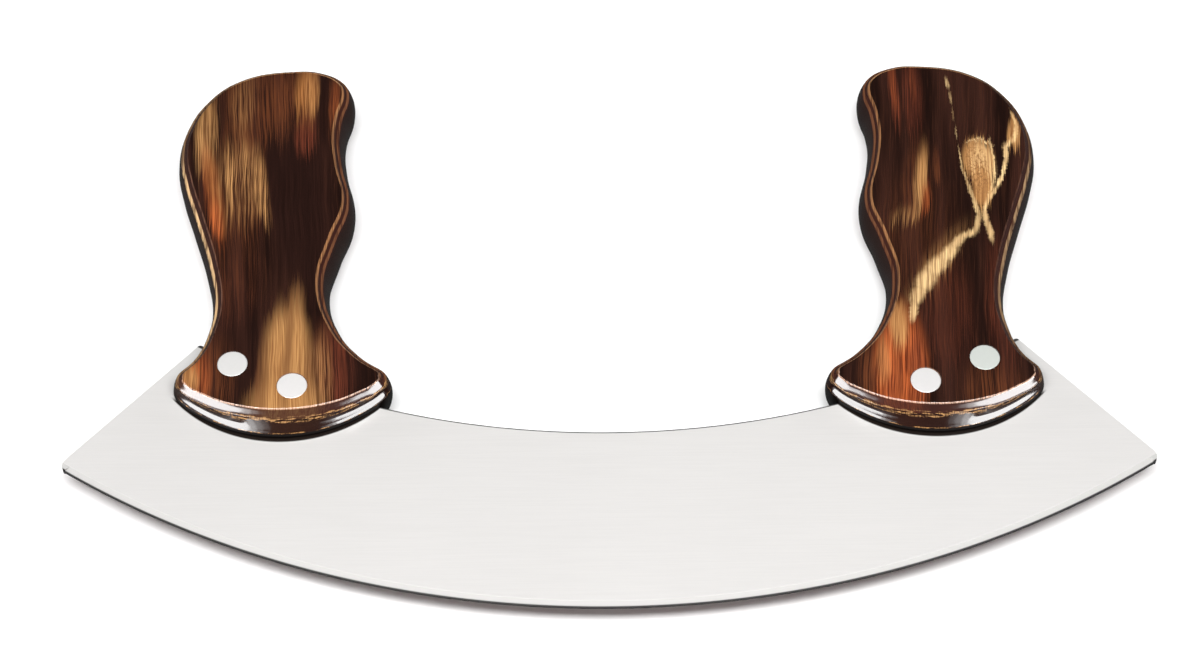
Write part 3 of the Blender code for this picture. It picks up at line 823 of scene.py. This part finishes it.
def figure_places(tree, place, parts, across, fibre, fine):
    """Places where streaks and veins are looked up, dragged about by the grain."""
    fibre_off = number(tree, "SUBTRACT", fibre, 0.5)
    fine_off = number(tree, "SUBTRACT", fine, 0.5)
    by_fibre, by_fine, sideways = STREAK_DRAG_MM
    along = number(tree, "MULTIPLY_ADD", fibre_off, by_fibre, parts[1])
    along = number(tree, "MULTIPLY_ADD", fine_off, by_fine, along)
    streak_place = joined(tree, number(tree, "MULTIPLY_ADD", fine_off, sideways, across), along)
    by_fine, by_speck = VEIN_DRAG_MM
    along = number(tree, "MULTIPLY_ADD", fine_off, by_fine, parts[1])
    speck_off = number(tree, "SUBTRACT", noise(tree, place, VEIN_SPECK, 2, 0.6), 0.5)
    vein_place = joined(tree, number(tree, "MULTIPLY_ADD", speck_off, by_speck, across), along)
    return streak_place, vein_place


def ground_colour(tree, grain, broad):
    """Dark ground of the wood, under its figure."""
    dark = blended(tree, eased(tree, broad, *BAND_LIMITS), NEAR_BLACK, DARK_BROWN)
    warm = number(tree, "MULTIPLY", eased(tree, grain, *WARM_LIMITS), WARM_SHARE)
    return blended(tree, warm, dark, WARM_BROWN)


def figured(tree, colour, place, places, lit, figure, veins):
    """Streaks laid over the ground in turn, then the veins."""
    streak_place, vein_place = places
    mottle = eased(tree, noise(tree, place, 1.0, 3, 0.7, MOTTLE_STRETCH), *MOTTLE_LIMITS)
    for tone, *values in figure:
        under = vein_place if tone in ("cream", "mottle") else streak_place
        mask = streak(tree, under, *values)
        if tone == "mottle":
            mask = number(tree, "MULTIPLY", mask, mottle)
        colour = painted(tree, colour, mask, tone, lit)
    if veins:
        colour = painted(tree, colour, vein_mask(tree, vein_place, veins), "cream", lit)
    return colour


def varnish(tree, shader, place):
    """Gloss coat with a faint ripple."""
    ripple = noise(tree, place, RIPPLE_SCALE, 2, 0.5)
    link(tree, bumped(tree, ripple, *RIPPLE_BUMP), shader, "Coat Normal")
    shader.inputs["Coat Weight"].default_value = 1.0
    shader.inputs["Coat Roughness"].default_value = VARNISH_ROUGHNESS
    shader.inputs["Coat IOR"].default_value = VARNISH_IOR


def wood_material(name, side, figure, veins):
    material, tree, shader = empty_material(name)
    place = wood_place(tree, side)
    parts = separate(tree, place)
    across = grain_across(tree, place, parts)
    fibre, fine, broad = grain_noises(tree, parts, across, side)
    grain = number(tree, "MULTIPLY_ADD", fine, FINE_SHARE,
                   number(tree, "MULTIPLY", fibre, FIBRE_SHARE))
    places = figure_places(tree, place, parts, across, fibre, fine)
    lit = eased(tree, grain, *LIT_LIMITS)
    colour = ground_colour(tree, grain, broad)
    colour = figured(tree, colour, place, places, lit, figure, veins)
    colour = rim_paint(tree, colour, place, parts, side, fibre, fine)
    link(tree, colour, shader, "Base Color")
    link(tree, eased(tree, grain, *MOST_NOISE, *WOOD_ROUGHNESS), shader, "Roughness")
    height = number(tree, "MULTIPLY_ADD", fine, WOOD_BUMP_FINE, fibre)
    link(tree, bumped(tree, height, *WOOD_BUMP), shader, "Normal")
    shader.inputs["Specular IOR Level"].default_value = WOOD_SPECULAR
    varnish(tree, shader, place)
    return material


def dimmed(tree, colour, shares):
    """Colour that shows in gloss, and lights what is near it, more faintly."""
    in_gloss, in_light = shares
    path = add(tree, "ShaderNodeLightPath").outputs
    kept = number(tree, "MULTIPLY",
                  eased(tree, path["Is Glossy Ray"], 0.0, 1.0, 1.0, in_gloss),
                  eased(tree, path["Is Diffuse Ray"], 0.0, 1.0, 1.0, in_light))
    return add(tree, "ShaderNodeVectorMath", {0: colour, 3: kept},
               operation="SCALE").outputs[0]


def past(tree, reach, radius, limits, to_low=0.0, to_high=1.0):
    """Share that changes as a reach passes a radius."""
    start, end = limits
    return eased(tree, reach, radius + start, radius + end, to_low, to_high)


def foot_shadow_mask(tree, outward, place):
    """Painted shadow on the blade round each foot's arc."""
    height = separate(tree, place)[1]
    middle = (FOOT_MIDDLE, FOOT_LEVEL + FOOT_RADIUS - FOOT_SHADOW_LOWER, 0)
    reach = reach_from(tree, joined(tree, outward, height), middle)
    ring = past(tree, reach, FOOT_RADIUS - FOOT_SHADOW_SMALLER, FOOT_SHADOW_EDGE, 1.0, 0.0)
    below = eased(tree, height, FOOT_CORNER_LEVEL - FOOT_SHADOW_START, FOOT_CORNER_LEVEL, 1.0, 0.0)
    return number(tree, "MULTIPLY", ring, below)


def steel_zones(tree, place, edge_y, back_y):
    """Shares of the ground zone and of the painted shade along the cutting edge, along the back
    and round each foot.
    """
    flat = scaled(tree, place, (1, 1, 0))
    reach = reach_from(tree, flat, (0, edge_y, 0))
    ground = past(tree, reach, EDGE_RADIUS - GRIND_WIDTH, GROUND_EDGE)
    keen_shade = past(tree, reach, EDGE_RADIUS, KEEN_EDGE)
    back_reach = reach_from(tree, flat, (0, back_y, 0))
    back_shade = past(tree, back_reach, BACK_RADIUS, ARRIS_EDGE, 1.0, 0.0)
    outward = separate(tree, vector(tree, "ABSOLUTE", place).outputs[0])[0]
    end_back_shade = number(tree, "MULTIPLY", eased(tree, outward, *END_ARRIS_START),
                       past(tree, back_reach, BACK_RADIUS, END_ARRIS_EDGE, 1.0, 0.0))
    back_shade = number(tree, "MAXIMUM", back_shade, end_back_shade)
    return ground, keen_shade, back_shade, foot_shadow_mask(tree, outward, place)


def steel_material(name, edge_y, back_y):
    """Satin steel; edge_y and back_y are the middles of the blade's two arcs."""
    material, tree, shader = empty_material(name)
    place = object_place(tree)
    lines = noise(tree, place, 1.0, 4, 0.7, SATIN_STRETCH)
    cloud = noise(tree, place, CLOUD_SCALE, 3, 0.5)
    ground, keen_shade, back_shade, foot_shadow = steel_zones(tree, place, edge_y, back_y)
    colour = blended(tree, eased(tree, lines, *MOST_NOISE), *SATIN_TONES)
    # The ground zone's own tone, then painted shade along the cutting edge and the back, and
    # painted shadow round each foot
    zones = ((ground, GROUND_TONE), (keen_shade, KEEN_SHADE_TONE), (back_shade, BACK_SHADE_TONE), (foot_shadow, FOOT_SHADOW_COLOUR))
    for zone, tone in zones:
        colour = blended(tree, zone, colour, tone)
    link(tree, dimmed(tree, colour, STEEL_BOUNCE), shader, "Base Color")
    rough = number(tree, "MULTIPLY_ADD", cloud, CLOUD_ROUGHNESS,
                   number(tree, "MULTIPLY", lines, LINE_ROUGHNESS))
    rough = number(tree, "ADD", rough, eased(tree, ground, 0.0, 1.0, *STEEL_ROUGHNESS))
    link(tree, rough, shader, "Roughness")
    link(tree, bumped(tree, lines, *STEEL_BUMP), shader, "Normal")
    link(tree, eased(tree, ground, 0.0, 1.0, *STEEL_METALLIC), shader, "Metallic")
    shader.inputs["Specular IOR Level"].default_value = STEEL_SPECULAR
    return material


def rivet_material(name, tone):
    """Turned aluminium: fine rings round the head's middle."""
    material, tree, shader = empty_material(name)
    place = object_place(tree)
    reach = reach_of(tree, scaled(tree, place, (1, 1, 0)))
    rings = noise(tree, joined(tree, reach, 0.0), RIVET_RINGS, 2, 0.5)
    speck = noise(tree, place, RIVET_SPECK, 3, 0.6)
    shade = tuple(RIVET_SHADE * part for part in tone)
    link(tree, blended(tree, speck, shade, tone), shader, "Base Color")
    link(tree, number(tree, "MULTIPLY_ADD", rings, *RIVET_ROUGHNESS), shader, "Roughness")
    link(tree, bumped(tree, rings, *RIVET_BUMP), shader, "Normal")
    shader.inputs["Metallic"].default_value = RIVET_METALLIC
    return material


def table_material():
    """White table that shows only faintly in the varnish."""
    material, tree, shader = empty_material("table_white")
    cloud = noise(tree, object_place(tree), TABLE_CLOUD, 2, 0.5)
    shade = tuple(TABLE_SHADE * part for part in TABLE_COLOUR)
    colour = blended(tree, cloud, shade, TABLE_COLOUR)
    link(tree, dimmed(tree, colour, TABLE_BOUNCE), shader, "Base Color")
    shader.inputs["Roughness"].default_value = TABLE_ROUGHNESS
    shader.inputs["Specular IOR Level"].default_value = TABLE_SPECULAR
    return material


def dress(item, material):
    item.data.materials.clear()
    item.data.materials.append(material)


def make_handle(word, side):
    name = word + "_handle"
    mesh = handle_mesh(name + "_wood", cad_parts[name])
    item = new_object(name + "_wood", mesh)
    cut(item, slot_mesh(side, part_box("blade")[0]))
    for label in RIVET_LABELS:
        cut(item, hole_mesh(), rivet_middle(f"{word}_{label}_rivet_female"))
    smooth(item.data)
    dress(item, wood_material(word + "_wood", side, *FIGURES[word]))
    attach(item, "root")
    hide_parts(name)


def make_rivets(word):
    for label in RIVET_LABELS:
        # Each head's tone is painted light: lighter or darker as that head catches the light
        material = rivet_material(f"{word}_{label}_rivet_metal", RIVET_LIT_TONES[word, label])
        for half, mesh in (("female", female_mesh()), ("male", male_mesh())):
            node = f"{word}_{label}_rivet_{half}"
            item = new_object(node + "_turned", mesh)
            item.location = rivet_middle(node)
            smooth(item.data)
            dress(item, material)
            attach(item, "root")
            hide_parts(node)


def dress_blade():
    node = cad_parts["blade"]
    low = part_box("blade")[0]
    edge_y = low.y + EDGE_RADIUS
    back_y = low.y + BLADE_DEPTH + BACK_RADIUS
    dress(node, steel_material("blade_satin_steel", edge_y, back_y))


def make_table():
    shape = bmesh.new()
    bmesh.ops.create_grid(shape, x_segments=TABLE_CELLS, y_segments=TABLE_CELLS,
                          size=TABLE_SIZE / 2)
    mesh = bpy.data.meshes.new("table")
    shape.to_mesh(mesh)
    shape.free()
    table = new_object("table", mesh)
    table.location = (0, 0, -TABLE_DROP)
    dress(table, table_material())


def make_lights():
    for name, place, size, target, power, use, colour in LIGHTS:
        data = bpy.data.lights.new(name, "AREA")
        data.shape = "RECTANGLE"
        data.size, data.size_y = size
        data.energy = power
        data.color = colour
        item = new_object(name, data)
        aim = Vector(target) - Vector(place)
        item.matrix_world = Matrix.Translation(place) @ panel_turn(aim)
        item.visible_camera = False
        item.visible_diffuse = use != "gloss"
        item.visible_glossy = use != "fill"


def panel_turn(aim):
    """Turn that points a panel along aim and keeps its long side level."""
    back = -aim.normalized()
    level = Vector((0, 0, 1)).cross(back)
    level = level.normalized() if abs(back.z) < STEEP_AIM else Vector((1, 0, 0))
    up = back.cross(level).normalized()
    level = up.cross(back)
    return Matrix((level, up, back)).transposed().to_4x4()


def make_world():
    """White backdrop that adds only a faint glow to the panels' light."""
    world = bpy.data.worlds.new("studio")
    bpy.context.scene.world = world
    world.use_nodes = True
    tree = world.node_tree
    tree.nodes.clear()
    seen = add(tree, "ShaderNodeLightPath").outputs["Is Camera Ray"]
    strength = eased(tree, seen, 0.0, 1.0, WORLD_GLOW, 1.0)
    glow = add(tree, "ShaderNodeBackground", {"Color": (1, 1, 1, 1), "Strength": strength})
    output = add(tree, "ShaderNodeOutputWorld")
    tree.links.new(glow.outputs[0], output.inputs[0])


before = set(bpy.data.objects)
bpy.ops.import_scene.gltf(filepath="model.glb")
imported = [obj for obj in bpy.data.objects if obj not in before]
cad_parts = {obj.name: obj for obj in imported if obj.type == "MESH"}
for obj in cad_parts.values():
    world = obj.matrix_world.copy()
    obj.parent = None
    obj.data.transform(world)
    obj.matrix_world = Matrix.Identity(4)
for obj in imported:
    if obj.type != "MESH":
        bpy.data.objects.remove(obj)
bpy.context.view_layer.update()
place_camera()
dress_blade()
for word, side in SIDES:
    make_handle(word, side)
    make_rivets(word)
make_table()
make_lights()
make_world()
bpy.context.scene.view_settings.view_transform = "Standard"
